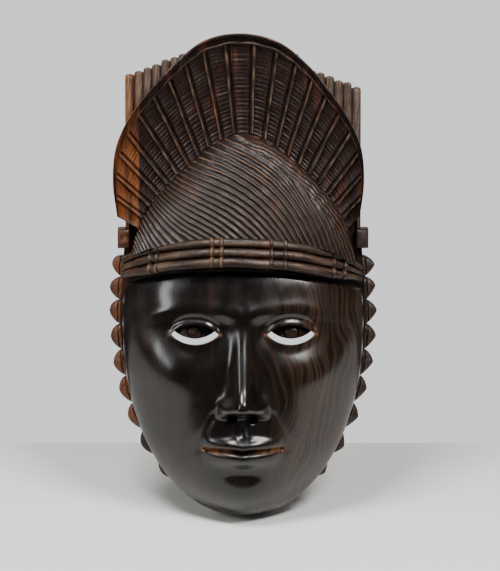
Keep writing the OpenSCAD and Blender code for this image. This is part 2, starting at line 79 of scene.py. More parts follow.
# Right halves of the cap's edge and the fan's outer edge, evenly spaced from the top down.
CAP_HALF = ((0, 81), (17, 74.5), (31.5, 63.5), (45, 51), (57, 37), (65.5, 21), (70.5, 2))
FAN_HALF = ((0, 144), (21.5, 139.5), (39, 126), (54, 110), (67.5, 92.5), (76.5, 73),
            (78.5, 51), (76, 29))


# ---------------------------------------------------------------- curves

def mix(a, b, t):
    """The value t of the way from a to b."""
    return a + (b - a) * t


def bell(distance, width):
    """1 at no distance, falling smoothly to nothing past about twice the width."""
    return np.exp(-(distance / width) ** 2)


def ease(t):
    """A smooth step from 0 to 1."""
    t = np.clip(t, 0, 1)
    return t * t * (3 - 2 * t)


def half_curve(points, u):
    """A smooth curve through the points, met at the middle of the mask by its mirror image."""
    p = np.array(points, float)
    last = len(p) - 1
    i = np.clip(np.floor(u).astype(int), 0, last - 1)
    t = (u - i)[:, None]
    before = np.where((i == 0)[:, None], p[1] * (-1, 1), p[np.maximum(i - 1, 0)])
    after = np.where((i + 2 > last)[:, None], 2 * p[last] - p[last - 1],
                     p[np.minimum(i + 2, last)])
    b, c = p[i], p[i + 1]
    return 0.5 * (2 * b + (c - before) * t + (2 * before - 5 * b + 4 * c - after) * t ** 2
                  + (3 * b - before - 3 * c + after) * t ** 3)


def arch(points, s, last):
    """The whole curve: s runs from -1 at the left end, over 0 at the top, to 1 at the right."""
    q = half_curve(points, np.abs(s) * last)
    return q * np.stack([np.where(s < 0, -1.0, 1.0), np.ones_like(s)], 1)


def wobble(a, b, size, seed):
    """Uneven hand work, roughly between -1 and 1, with humps about size across."""
    random = np.random.default_rng(seed)
    total = np.zeros_like(a)
    for _ in range(7):
        angle, phase = random.uniform(0, 2 * math.pi, 2)
        wave = size * random.uniform(0.7, 1.7)
        total += np.sin((a * math.cos(angle) + b * math.sin(angle)) * 2 * math.pi / wave + phase)
    return total / 4


# ---------------------------------------------------------------- making pieces

def deselect():
    bpy.ops.object.select_all(action="DESELECT")


def edit(piece, mode="VERT"):
    """Enters edit mode on one piece, with nothing selected."""
    deselect()
    piece.select_set(True)
    bpy.context.view_layer.objects.active = piece
    bpy.ops.object.mode_set(mode="EDIT")
    bpy.ops.mesh.select_mode(type=mode)
    bpy.ops.mesh.select_all(action="DESELECT")


def leave_edit():
    bpy.ops.object.mode_set(mode="OBJECT")


def points_of(piece):
    flat = np.empty(len(piece.data.vertices) * 3)
    piece.data.vertices.foreach_get("co", flat)
    return flat.reshape(-1, 3)


def set_points(piece, points, shade_and_wear=None):
    """Places a piece's points, given in millimetres, and stores each one's shading value, 0 to 1:
    painted shade in cuts, rubbed wear and painted highlight on crests.
    """
    piece.data.vertices.foreach_set("co", (points * MM).ravel())
    if shade_and_wear is not None:
        shade_and_wear_attr = piece.data.attributes.new("shade_and_wear", "FLOAT", "POINT")
        shade_and_wear_attr.data.foreach_set("value", np.clip(shade_and_wear, 0, 1).astype(np.float32))
    piece.data.update()


def grid(name, columns, rows):
    """A flat grid whose x and y run from -1 to 1."""
    deselect()
    bpy.ops.mesh.primitive_grid_add(x_subdivisions=columns, y_subdivisions=rows, size=2)
    piece = bpy.context.object
    piece.name = piece.data.name = name
    return piece


def out_of(body, u, v, height):
    """Points of a body's surface, raised by height along the surface's own normal."""
    step = 1e-3
    along = body(u + step, v) - body(u - step, v)
    across = body(u, v + step) - body(u, v - step)
    normal = np.cross(along, across)
    normal /= np.maximum(np.linalg.norm(normal, axis=1), 1e-9)[:, None]
    return body(u, v) + normal * height[:, None]


def finish(piece, material, nodes, angle=35):
    """Smooths a piece, gives it its material, and lets it stand for its CAD nodes."""
    deselect()
    piece.select_set(True)
    bpy.context.view_layer.objects.active = piece
    bpy.ops.object.shade_smooth_by_angle(angle=math.radians(angle))
    piece.data.materials.clear()
    piece.data.materials.append(material)
    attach(piece, "mask")
    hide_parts(*nodes)
    return piece


def close_back(piece, back_y):
    """Carries the open edge of a carved surface straight back to a flat face."""
    edit(piece, "EDGE")
    bpy.ops.mesh.select_non_manifold()
    bpy.ops.mesh.extrude_edges_move()
    bpy.ops.transform.resize(value=(1, 0, 1), center_override=(0, back_y * MM, 0))
    bpy.ops.mesh.edge_face_add()
    bpy.ops.mesh.select_all(action="SELECT")
    bpy.ops.mesh.normals_make_consistent(inside=False)
    leave_edit()


def relief(name, columns, rows, shape, back_y):
    """A carved front on a flat back. shape(u, v) gives the points and their shading value, painted
    shade and wear.
    """
    piece = grid(name, columns, rows)
    flat = points_of(piece)
    points, shade_and_wear = shape(flat[:, 0], flat[:, 1])
    set_points(piece, points, shade_and_wear)
    close_back(piece, back_y)
    return piece


def slab(name, columns, rows, front, rear):
    """A carved front and a shaped rear over the same grid, closed round the edge."""
    piece = grid(name, columns, rows)
    edit(piece)
    bpy.ops.mesh.select_all(action="SELECT")
    bpy.ops.mesh.extrude_region_move(TRANSFORM_OT_translate={"value": (0, 0, 1)})
    leave_edit()
    flat = points_of(piece)
    u, v = flat[:, 0], flat[:, 1]
    points, shade_and_wear = front(u, v)
    is_rear = flat[:, 2] < 0.5
    points[is_rear] = rear(u[is_rear], v[is_rear])
    set_points(piece, points, shade_and_wear)
    return piece


def tube(name, around, along, shape):
    """A closed bar. shape(turn, t) gives its points for a turn of 0 to 1 and t of 0 to 1."""
    piece = grid(name, around, along)
    flat = points_of(piece)
    points, shade_and_wear = shape((flat[:, 0] + 1) / 2, (flat[:, 1] + 1) / 2)
    set_points(piece, points, shade_and_wear)
    edit(piece, "EDGE")
    bpy.ops.mesh.select_all(action="SELECT")
    bpy.ops.mesh.remove_doubles(threshold=0.005 * MM)
    bpy.ops.mesh.select_all(action="DESELECT")
    bpy.ops.mesh.select_non_manifold()
    bpy.ops.mesh.fill_holes(sides=0)
    bpy.ops.mesh.select_all(action="SELECT")
    bpy.ops.mesh.normals_make_consistent(inside=False)
    leave_edit()
    return piece


def join(pieces, name):
    """Makes one object of several separate closed pieces."""
    deselect()
    for piece in pieces:
        piece.select_set(True)
    bpy.context.view_layer.objects.active = pieces[0]
    bpy.ops.object.join()
    pieces[0].name = pieces[0].data.name = name
    return pieces[0]


def cut_away(piece, tool):
    """Removes the tool's volume from a piece, and then the tool."""
    cut = piece.modifiers.new("cut", "BOOLEAN")
    cut.operation = "DIFFERENCE"
    cut.solver = "EXACT"
    cut.object = tool
    deselect()
    bpy.context.view_layer.objects.active = piece
    piece.select_set(True)
    bpy.ops.object.modifier_apply(modifier="cut")
    bpy.data.objects.remove(tool)


# ---------------------------------------------------------------- materials

def tone(hex_colour):
    """sRGB hex to linear RGBA."""
    parts = [int(hex_colour[i:i + 2], 16) / 255 for i in (1, 3, 5)]
    return [c / 12.92 if c <= 0.04045 else ((c + 0.055) / 1.055) ** 2.4 for c in parts] + [1]


def add(material, kind, inputs=None, **settings):
    """Adds a shader node. inputs maps a socket to a value or to another node's output."""
    made = material.node_tree.nodes.new("ShaderNode" + kind)
    for name, value in settings.items():
        setattr(made, name, value)
    for socket, value in (inputs or {}).items():
        if isinstance(value, bpy.types.NodeSocket):
            material.node_tree.links.new(value, made.inputs[socket])
        else:
            made.inputs[socket].default_value = value
    return made


def blend(material, share, a, b, mode="MIX"):
    """Mixes two colours and returns the mixed one."""
    made = add(material, "Mix", {"Factor": share}, data_type="RGBA", blend_type=mode)
    for socket, value in ((made.inputs[6], a), (made.inputs[7], b)):
        if isinstance(value, bpy.types.NodeSocket):
            material.node_tree.links.new(value, socket)
        else:
            socket.default_value = value
    return made.outputs[2]


def between(material, value, low, high, to_low=0.0, to_high=1.0):
    """Maps a value smoothly from one range to another."""
    return add(material, "MapRange", {"Value": value, "From Min": low, "From Max": high,
                                      "To Min": to_low, "To Max": to_high},
               interpolation_type="SMOOTHSTEP").outputs[0]


def sums(material, operation, a, b, c=0.0):
    """One step of arithmetic between values of a material."""
    return add(material, "Math", {0: a, 1: b, 2: c}, operation=operation).outputs[0]


def stretched_noise(material, size_mm, detail=3.0, turn=(0, 0, 0), roughness=0.5):
    """Noise whose grains measure size_mm along x, y and z."""
    place = add(material, "TexCoord").outputs["Object"]
    scaled = add(material, "Mapping", {"Vector": place, "Rotation": turn,
                                       "Scale": [1 / (s * MM) for s in size_mm]})
    return add(material, "TexNoise", {"Vector": scaled.outputs[0], "Scale": 1.0,
                                      "Detail": detail, "Roughness": roughness}).outputs[0]


SAPWOOD_X = -65.5  # the billet's sapwood lies to the left of this


def billet(material, dark, brown, streak, sap, brown_share, sap_share=1.0):
    """Colour of the one billet: dark heartwood with brown streaks, and sapwood at its left."""
    place = add(material, "SeparateXYZ",
                {0: add(material, "TexCoord").outputs["Object"]}).outputs
    clouds = stretched_noise(material, (22, 22, 60), 2.0)
    fibres = stretched_noise(material, (1.1, 1.1, 26), 4.0)
    bands = stretched_noise(material, (5, 9, 80), 3.0, (0.05, 0.2, 0.3))
    streaked = blend(material, between(material, bands, 0.5, 0.68), tone(dark), tone(brown))
    base = blend(material, sums(material, "MULTIPLY",
                                between(material, clouds, 0.42, 0.66), brown_share),
                 tone(dark), streaked)
    base = blend(material, between(material, fibres, 0.56, 0.75, 0, 0.35), base, tone(streak))
    edge = sums(material, "MULTIPLY_ADD", clouds, 0.012, place[0])
    is_sap = between(material, edge, SAPWOOD_X * MM + 0.0068, SAPWOOD_X * MM + 0.0052,
                     0, sap_share)
    sap_wood = blend(material, between(material, bands, 0.42, 0.62), tone(sap), tone("#3b1f10"))
    return blend(material, is_sap, base, sap_wood), fibres


def new_material(name):
    material = bpy.data.materials.new(name)
    material.use_nodes = True
    return material, material.node_tree.nodes["Principled BSDF"]


def link(material, source, shader, socket):
    material.node_tree.links.new(source, shader.inputs[socket])


def polished_ebony():
    """Ebony sanded fine, waxed and buffed: near black, glossy, with brown figure on its right."""
    material, shader = new_material("polished_ebony")
    place = add(material, "TexCoord").outputs["Object"]
    x, y, z = add(material, "SeparateXYZ", {0: place}).outputs
    base, fibres = billet(material, "#0d0907", "#26130d", "#1c0f0b", "#26130d", 0.6, 0)
    # The growth layers slant back through the cheek, so their lines follow its contours.
    # The layers are some 2.4 mm apart and run about 110 mm along the grain.
    layers_per_m, waves_per_m = 420.0, 9.0
    warp = stretched_noise(material, (34, 34, 40), 1.0)
    layer = sums(material, "MULTIPLY_ADD", y, 0.9, sums(material, "MULTIPLY", x, 0.75))
    layer = sums(material, "MULTIPLY_ADD", warp, 0.03, layer)
    rings = add(material, "TexNoise", {
        "Vector": add(material, "CombineXYZ", {
            0: sums(material, "MULTIPLY", layer, layers_per_m),
            1: sums(material, "MULTIPLY", z, waves_per_m)}).outputs[0],
        "Scale": 1.0, "Detail": 4.0, "Roughness": 0.62}).outputs[0]
    figure = blend(material, between(material, rings, 0.4, 0.66), tone("#130d0a"),
                   tone("#39271b"))
    side = sums(material, "MULTIPLY_ADD", warp, 0.03, x)
    share = between(material, side, 0.018, 0.045, 0.0, 0.85)
    colour = blend(material, share, base, figure)
    raw = add(material, "Attribute", attribute_name="raw").outputs["Fac"]
    colour = blend(material, raw, colour, tone("#7d4f27"))
    link(material, colour, shader, "Base Color")
    smears = stretched_noise(material, (14, 14, 20), 3.0)
    link(material, sums(material, "MULTIPLY_ADD", raw, 0.5,
                        between(material, smears, 0.35, 0.7, 0.2, 0.34)), shader, "Roughness")
    shader.inputs["IOR"].default_value = 1.5
    shader.inputs["Specular IOR Level"].default_value = 0.42
    shader.inputs["Coat Weight"].default_value = 0.12
    shader.inputs["Coat Roughness"].default_value = 0.16
    pores = add(material, "Bump", {"Height": fibres, "Strength": 0.12, "Distance": 0.0003})
    link(material, pores.outputs[0], shader, "Normal")
    return material


def carved_ebony(name="carved_ebony", dark="#1c0e09", brown="#4f2618", streak="#4f2f20",
                 sap="#6d3c1c", rough=0.45, sap_share=1.0):
    """Ebony left from the knife and oiled: matt brown-black, with painted shade darkening its cuts,
    and crests greyer and lighter from wear and painted highlight.
    """
    material, shader = new_material(name)
    colour, fibres = billet(material, dark, brown, streak, sap, 0.9, sap_share)
    shade_and_wear_attr = add(material, "Attribute", attribute_name="shade_and_wear").outputs["Fac"]
    grime = stretched_noise(material, (6, 6, 9), 4.0)
    # Painted shade: points with a low shading value, at the bottom of cuts, are darkened towards
    # black.
    colour = blend(material, between(material, shade_and_wear_attr, 0.0, 0.45, 0.75, 0.0), colour,
                   tone("#070403"))
    # Partly wear, partly painted highlight: crests and edges are lightened towards grey-brown,
    # broken up by noise.
    rubbed_and_highlit = sums(material, "MULTIPLY", between(material, shade_and_wear_attr, 0.55, 1.0),
                  between(material, grime, 0.3, 0.6, 0.2, 0.7))
    colour = blend(material, rubbed_and_highlit, colour, tone("#7a604d"))
    link(material, colour, shader, "Base Color")
    link(material, between(material, grime, 0.3, 0.7, rough + 0.1, rough - 0.08), shader,
         "Roughness")
    shader.inputs["IOR"].default_value = 1.48
    shader.inputs["Specular IOR Level"].default_value = 0.35
    bump = add(material, "Bump", {"Height": fibres, "Strength": 0.5, "Distance": 0.0006})
    chatter = add(material, "Bump", {"Height": grime, "Strength": 0.35, "Distance": 0.0008,
                                     "Normal": bump.outputs[0]})
    link(material, chatter.outputs[0], shader, "Normal")
    return material


def plated_steel():
    """Steel wire and strap, zinc plated: bright grey with a dull, slightly mottled skin."""
    material, shader = new_material("zinc_plated_steel")
    mottle = stretched_noise(material, (1.6, 1.6, 1.6), 4.0)
    link(material, blend(material, mottle, tone("#b9b8b2"), tone("#8e8b83")), shader,
         "Base Color")
    shader.inputs["Metallic"].default_value = 1.0
    link(material, between(material, mottle, 0.3, 0.7, 0.32, 0.5), shader, "Roughness")
    scuffs = add(material, "Bump", {"Height": mottle, "Strength": 0.2, "Distance": 0.0002})
    link(material, scuffs.outputs[0], shader, "Normal")
    return material


FACE_WOOD = polished_ebony()
STEEL = plated_steel()
# Oiled ebony of the fan and the board: brown-black with reddish streaks, and orange sapwood.
CARVED_WOOD = carved_ebony()
# Dry heartwood of the hair's reeds, never oiled: grey-brown and dull.
REED_WOOD = carved_ebony("dry_heartwood", dark="#3a2d26", brown="#5a4231", streak="#7b6757",
                         sap="#7c5029", rough=0.62)
# Bare wood of the eyeballs, cut but not polished: dark brown with a soft gloss.
EYE_WOOD = carved_ebony("raw_eye_wood", dark="#1e130d", brown="#3d2616", streak="#5b3c25",
                        sap="#5b3c25", rough=0.4, sap_share=0)
# Oiled heartwood of the cap and the cords: even brown-black, with no sapwood in it.
HEART_WOOD = carved_ebony("carved_heartwood", dark="#1f120c", brown="#452618", streak="#503427",
                          sap="#4a3327", rough=0.42, sap_share=0)
# A light streak of the billet that runs through one pair of ties: tan.
TAN_WOOD = carved_ebony("tan_tie_wood", dark="#4a3020", brown="#6a452c", streak="#7f5a3f",
                        sap="#6a452c", rough=0.45, sap_share=0)
# Outer wood of the lugs and scallops: dustier brown, a little duller, and brown sapwood.
FRINGE_WOOD = carved_ebony("fringe_wood", dark="#241712", brown="#452a1c", streak="#5c4334",
                           sap="#5a351e", rough=0.5)


# ---------------------------------------------------------------- face

CHEEK_Z = -40.0  # the level where the face is widest
TOP_REACH = 52.0
CHIN_REACH = CHEEK_Z - CHIN_Z
TOP_POWER = 3.2  # the outline's two halves are superellipses
CHIN_POWER = 2.05
FACE_D = 53.0
SIDE_D = 16.0
WALL = 9.0
EYE_X = 30.0
EYE_Z = -43.0
EYE_HALF_W = 15.0
EYE_HALF_H = 6.25
LID_R = (EYE_HALF_W ** 2 + EYE_HALF_H ** 2) / (2 * EYE_HALF_H)
MOUTH_Z = -116.0
MOUTH_HALF = 25.0


def outline_half(z):
    """Power and reach of the half of the outline that a level is in."""
    above = z > CHEEK_Z
    return np.where(above, TOP_POWER, CHIN_POWER), np.where(above, TOP_REACH, CHIN_REACH)


def outline_share(x, z):
    """How far out towards the face's outline a point is, from 0 at the middle to 1."""
    power, reach = outline_half(z)
    return ((np.abs(x) / FACE_HALF) ** power
            + (np.abs(z - CHEEK_Z) / reach) ** power) ** (1 / power)


def half_width(z):
    """Half the width of the face at a level."""
    power, reach = outline_half(z)
    inside = np.minimum(0.9998, np.abs(z - CHEEK_Z) / reach)
    return FACE_HALF * (1 - inside ** power) ** (1 / power)


def head_depth(x, z):
    """The plain head under the features."""
    fall = np.where(z > -50, 0.0018, 0.0008)
    return FACE_D - fall * (z + 50) ** 2 - 20 * np.abs(x / half_width(z)) ** 2.2


def rounded(share):
    """1 over most of the face, rolling down to 0 at its outline."""
    return np.clip(1 - np.clip(share, 0, 1) ** 6, 0, 1) ** 0.45


def lid_line(ex):
    """Half the height of the eye opening at a distance ex from its middle."""
    ex = np.clip(ex, -EYE_HALF_W, EYE_HALF_W)
    return np.sqrt(LID_R ** 2 - ex ** 2) - LID_R + EYE_HALF_H


def eye_features(across, z):
    """Brow ridge, socket, ball, lids and creases of both eyes, across from the middle line."""
    ex = across - EYE_X
    ez = z - EYE_Z
    lid = lid_line(ex)
    near = ease((EYE_HALF_W + 2.5 - np.abs(ex)) / 4)
    above, below = ez - lid, -ez - lid
    brow = 1.6 * bell(z + 27 + 0.006 * ex ** 2, 5.6) * ease((46 - np.abs(ex)) / 20)
    socket = -6.6 * bell(ex, 20) * bell(ez, 11.5) - 2.2 * bell(across - 13.5, 6) * bell(ez - 4, 9)
    ball = 6.4 * bell(ex, 13.5) * bell(ez, 8)
    rims = near * (0.5 * bell(above - 1.1, 1.3) + 0.35 * bell(below - 1.0, 1.3))
    creases = near * (-0.8 * bell(above - 4.6, 1.5) - 0.15 * bell(below - 5, 2.2))
    return brow + socket + ball + rims + creases


def nose(x, across, z):
    """A straight bridge that widens down to a round tip, with wings and nostrils."""
    t = np.clip((-34 - z) / 52, 0, 1.03)
    underside = ease((z + 95.5) / 6.5)
    bridge = 15.5 * t ** 1.1 * underside * np.exp(-(across / (4.6 + 3.6 * t)) ** 2.5)
    tip = 2.6 * bell(x, 7.5) * bell(z + 85, 6)
    wings = 7.2 * bell(across - 10.6, 5.2) * bell(z + 89.5, 5.6) * ease((z + 97) / 3.2)
    crease = -0.8 * bell(across - 16.8, 2.2) * bell(z + 89, 7)
    nostrils = -5.5 * bell(across - 6.4, 2.6) * bell(z + 95.2, 2.0)
    return bridge + tip + wings + crease + nostrils


def mouth(x, across, z):
    """Closed, level lips with a groove between them."""
    share = np.clip(across / MOUTH_HALF, 0, 1)
    line = MOUTH_Z + 1.1 * share ** 2 - 0.7 * bell(x, 4)
    full = np.sqrt(1 - share ** 2)
    upper_edge = line + full * (8.4 + 0.9 * bell(across - 5, 3) - 1.3 * bell(x, 2.6))
    lower_edge = line - full * 9.8
    upper = 4.2 * bell(z - line - 3.7, 3.9)
    lower = 5.2 * bell(z - line + 4.9, 4.6)
    borders = 0.35 * bell(z - upper_edge, 1.3) + 0.2 * bell(z - lower_edge, 1.6)
    groove = -3.4 * bell(z - line, 1.1) * ease((MOUTH_HALF + 1.5 - across) / 3)
    corners = -0.7 * bell(across - MOUTH_HALF - 1, 4) * bell(z - MOUTH_Z, 5)
    philtrum = -1.3 * bell(x, 2.3) * bell(z + 102.5, 4.6)
    pillars = 0.7 * bell(across - 4.7, 1.8) * bell(z + 103.5, 5)
    muzzle = 3.2 * bell(x, 25) * bell(z - MOUTH_Z, 20)
    return full ** 2.2 * (upper + lower + borders) + groove + corners + philtrum + pillars + muzzle


def face_features(x, z):
    """All that stands out of the plain head or is sunk into it, in millimetres."""
    across = np.abs(x)
    fold_x = 17 + 0.52 * (-90 - z)
    fold = -1.2 * bell(across - fold_x, 3.2) * ease((-86 - z) / 8) * ease((z + 128) / 12)
    forehead = 1.2 * bell(x, 9) * bell(z + 28, 7)
    cheeks = 3.4 * bell(across - 42, 18) * bell(z + 68, 14)
    hollows = -2.2 * bell(across - 45, 16) * bell(z + 104, 18)
    temples = -2.4 * bell(across - 66, 12) * bell(z + 24, 14)
    chin = 5.5 * bell(x, 18) * bell(z + 146, 11) - 1.8 * bell(x, 17) * bell(z + 131, 5.5)
    return (eye_features(across, z) + nose(x, across, z) + mouth(x, across, z) + fold
            + forehead + cheeks + hollows + temples + chin)


BROW_Z = -2.6  # the face's top edge on the middle line


def band_edge(x):
    """Level of the face's top edge, just under the slanting headband."""
    return BROW_Z - 13 * np.abs(x / 75) ** 2.2 - math.tan(BAND_ROLL) * x


TOP_ROLL = 3.6  # the forehead rolls back over this height, under the headband
TOP_ROLL_D = 6


def face_surface(x, z):
    """Depth of the face's finished front."""
    depth = mix(SIDE_D, head_depth(x, z) + face_features(x, z), rounded(outline_share(x, z)))
    roll = np.clip(1 - (band_edge(x) - z) / TOP_ROLL, 0, 1)
    return depth - np.minimum(TOP_ROLL_D, depth - SIDE_D) * (1 - np.sqrt(1 - roll ** 2))


def face_shape(u, v):
    """The front of the face. Points crowd towards the outline, where it curves most."""
    t = (1 - v) / 2
    t = mix(t, (1 - np.cos(math.pi * t)) / 2, 0.55)
    spread = np.sign(u) * mix(np.abs(u), np.sin(np.abs(u) * math.pi / 2), 0.5)
    level = mix(BROW_Z, CHIN_Z, t)
    z = level
    for _ in range(3):
        x = half_width(z) * spread
        z = level + (band_edge(x) - BROW_Z) * (1 - t) ** 6
    points = np.stack([x, -face_surface(x, z), z], 1)
    points[:, 1] += 0.12 * wobble(x, z, 26, 5)
    return points, np.full_like(x, 0.5)


def raw_wood(x, z):
    """Where the finish is missing: the line of the mouth and the corners of the eyes."""
    across = np.abs(x)
    share = np.clip(across / MOUTH_HALF, 0, 1)
    line = MOUTH_Z + 1.1 * share ** 2
    lips = bell(z - line, 1.5) * ease((across - 3) / 9) * ease((MOUTH_HALF + 3 - across) / 3)
    ex = across - EYE_X
    lid = lid_line(ex)
    ez = np.abs(z - EYE_Z)
    corners = ease((np.abs(ex) - 11.5) / 4) * ease((lid + 1.6 - ez) / 1.4) * ease(
        (EYE_HALF_W + 2.6 - np.abs(ex)) / 1.5)
    return np.clip(lips * (0.6 + 0.6 * wobble(x, z, 5, 8)) + 0.4 * corners, 0, 1)


HOLLOW_SHARE = 1 - WALL / FACE_HALF
HOLLOW_TOP = -27.0
HOLLOW_FOOT = CHIN_Z + 17.5


def hollow_half(z):
    """Half the width of the hollow at a level."""
    power, reach = outline_half(z)
    inside = np.minimum(1, np.abs(z - CHEEK_Z) / (reach * HOLLOW_SHARE))
    return np.maximum(HOLLOW_SHARE * FACE_HALF * (1 - inside ** power) ** (1 / power),
                      0.45 * half_width(z))


def hollow_shape(u, v):
    """The hollow gouged out of the face from behind, down to an even wall."""
    z = mix(HOLLOW_TOP, HOLLOW_FOOT, (1 - v) / 2)
    spread = np.sign(u) * mix(np.abs(u), np.sin(np.abs(u) * math.pi / 2), 0.6)
    x = hollow_half(z) * spread
    share = outline_share(x, z) / HOLLOW_SHARE
    depth = mix(BOARD_T, head_depth(x, z) - WALL, rounded(share))
    depth += 0.35 * wobble(x, z, 11, 3)
    return np.stack([x, -depth, z], 1), np.full_like(x, 0.5)


CUT_FRONT_D = 75.0  # the cutter starts in front of the lids, and flares inside the wall
CUT_STRAIGHT = 29
CUT_FLARED = 28
CUT_FLARE = 2.6


def eye_cutter(side):
    """The almond opening, cut through the wall and wider below towards the inside."""
    deselect()
    bpy.ops.mesh.primitive_circle_add(vertices=96, radius=1, fill_type="NGON")
    tool = bpy.context.object
    flat = points_of(tool)
    ex = EYE_HALF_W * flat[:, 0]
    ez = np.sign(flat[:, 1]) * lid_line(ex)
    front = np.stack([side * EYE_X + ex, np.full_like(ex, -CUT_FRONT_D), EYE_Z + ez], 1)
    set_points(tool, front)
    edit(tool)
    bpy.ops.mesh.select_all(action="SELECT")
    for length in (CUT_STRAIGHT, CUT_FLARED):
        bpy.ops.mesh.extrude_region_move(TRANSFORM_OT_translate={"value": (0, length * MM, 0)})
    leave_edit()
    moved = points_of(tool)
    inner_low = (moved[:, 1] > -30 * MM) & (moved[:, 2] < EYE_Z * MM)
    moved[inner_low, 2] = EYE_Z * MM + (moved[inner_low, 2] - EYE_Z * MM) * CUT_FLARE
    tool.data.vertices.foreach_set("co", moved.ravel())
    edit(tool)
    bpy.ops.mesh.select_all(action="SELECT")
    bpy.ops.mesh.normals_make_consistent(inside=False)
    leave_edit()
    return tool


def make_face():
    """The polished shell, gouged hollow from behind and pierced at the eyes."""
    face = relief("face", 260, 250, face_shape, -BOARD_T)
    cut_away(face, relief("hollow", 90, 90, hollow_shape, -BOARD_T + 6))
    for side in (-1, 1):
        cut_away(face, eye_cutter(side))
    points = points_of(face) / MM
    raw = face.data.attributes.new("raw", "FLOAT", "POINT")
    is_front = -points[:, 1] > face_surface(points[:, 0], points[:, 2]) - 1
    raw.data.foreach_set("value", (raw_wood(points[:, 0], points[:, 2])
                                   * is_front).astype(np.float32))
    return finish(face, FACE_WOOD, ["face_shell"], 40)


# ---------------------------------------------------------------- eyes

BALL_R = 17.0
IRIS_R = 4.7
SLIT_H = 3.6  # height of the sight slit left open under an eyeball


def make_eye(side, node):
    """An eyeball behind its lids, with a ring cut round the iris."""
    _, (_, front), _ = limits(node)

    def shape(u, v):
        ex = (EYE_HALF_W - 0.4) * u
        top = lid_line(ex) - 0.05
        low = np.minimum(SLIT_H - lid_line(ex), top - 0.1)
        ez = mix(low, top, (v + 1) / 2)
        depth = front - 0.5 - BALL_R + np.sqrt(BALL_R ** 2 - ex ** 2 - ez ** 2)
        r = np.hypot(ex, ez - 1.0)
        depth -= 0.75 * bell(r - IRIS_R, 0.55)
        depth += 0.35 * ease((IRIS_R - r) / 0.6)
        depth += 0.12 * wobble(ex, ez, 3.2, 21)
        # Painted shade in the ring cut round the iris, and a little lighter inside it.
        shade_and_wear = 0.48 - 0.6 * bell(r - IRIS_R, 0.7) + 0.1 * ease((IRIS_R - r) / 1.5)
        return np.stack([side * EYE_X + ex, -depth, EYE_Z + ez], 1), shade_and_wear

    piece = relief(node.replace("_eye", "_eyeball"), 90, 44, shape, -front + 8)
    return finish(piece, EYE_WOOD, [node])


# ---------------------------------------------------------------- headband

def band_place(angle, out, lift):
    """A point of the headband: angle about its axis, out from its curve and lift along its axis."""
    radius = BAND_R + out
    x = radius * np.sin(angle)
    y = BAND_R - radius * np.cos(angle)
    c, s = math.cos(BAND_TILT), math.sin(BAND_TILT)
    y, z = y * c + lift * s, -y * s + lift * c
    c, s = math.cos(BAND_ROLL), math.sin(BAND_ROLL)
    return np.stack([x * c + z * s, y - BAND_D, -x * s + z * c], 1)


BAND_END = math.radians(59.5)  # the cords run this far round to each side


def squeeze(angle):
    """How much the cords close up towards the ends, more on the right."""
    t = angle / BAND_END
    return 1 - 0.2 * ease((-t - 0.72) / 0.28) - 0.42 * ease((t - 0.62) / 0.38)


def cord_lift(level, angle):
    """Height of a cord's middle in the band: level 0 is the lowest cord."""
    pinch = squeeze(angle)
    return BAND_H / 2 + (level - 1) * CORD_PITCH * pinch


def cord_shape(level):
    """A round cord carved in the wood, flattened and uneven, with rounded ends."""
    def shape(turn, t):
        angle = mix(-BAND_END, BAND_END, t)
        a = turn * 2 * math.pi
        along = angle * BAND_R
        pinch = squeeze(angle)
        end = np.clip((BAND_END - np.abs(angle)) * BAND_R / 2.2, 0, 1)
        cap = np.sqrt(np.clip(end * (2 - end), 0, 1))
        fat = pinch * cap * (1 + 0.05 * wobble(along, a * 3, 17, 30 + level))
        out = CORD_R * np.cos(a) * np.minimum(1, fat + 0.12)
        up = CORD_R * np.sign(np.sin(a)) * np.abs(np.sin(a)) ** 0.85 * fat
        flat = 0.25 * wobble(along, a * 6, 9, 40 + level) * np.clip(np.cos(a), 0, 1)
        lift = cord_lift(level, angle) + up + 0.22 * wobble(along, along * 0, 31, 50 + level)
        # Painted shading: each cord is lighter where it faces out and darker where it turns back
        # towards the core.
        shade_and_wear = 0.5 + 0.22 * np.cos(a) ** 3 + 0.1 * wobble(along, a * 4, 26, 60 + level)
        shade_and_wear = shade_and_wear - 0.5 * np.clip(-np.cos(a) + 0.3, 0, 1)
        return band_place(angle, out + flat * 0.6, lift), shade_and_wear
    return shape


TIE_ANGLES = (-41, -37.5, -12.8, -8.8, 11.3, 17, 39.8, 45.8)
TIE_W = 2.7
TIE_T = 1.25
TIE_REAR = -0.2
TAN_TIES = (2, 3)


def tie_shape(number, thick):
    """One tie's surface, laid over the three cords and sunk a little between them."""
    centre = math.radians(TIE_ANGLES[number])

    def shape(u, v):
        bend = 0.5 * wobble(v * 10, v * 0, 14, 80 + number)
        angle = centre + (u * TIE_W / 2 * (1 - 0.12 * v * v) + bend * 0.5) / BAND_R
        reach = BAND_H / 2 * squeeze(angle) + 0.15
        lift = BAND_H / 2 + v * reach
        out = np.full_like(u, -2.2)
        for level in range(3):
            up = (lift - cord_lift(level, angle)) / (CORD_R + 0.1)
            out = np.maximum(out, CORD_R * np.sqrt(np.clip(1 - up ** 2, 0, 1)))
        out = np.maximum(out, 0.9 - 2.4 * np.abs(v) ** 8)
        out = out + thick * np.sqrt(np.clip(1 - np.abs(u) ** 2.4, 0, 1))
        # Painted shading: each tie is lighter down its middle and darker at its sides.
        shade_and_wear = 0.75 - 0.7 * np.abs(u) ** 3 + 0.2 * wobble(v * 10, u * 2, 5, 90 + number)
        return band_place(angle, out, lift), shade_and_wear
    return shape


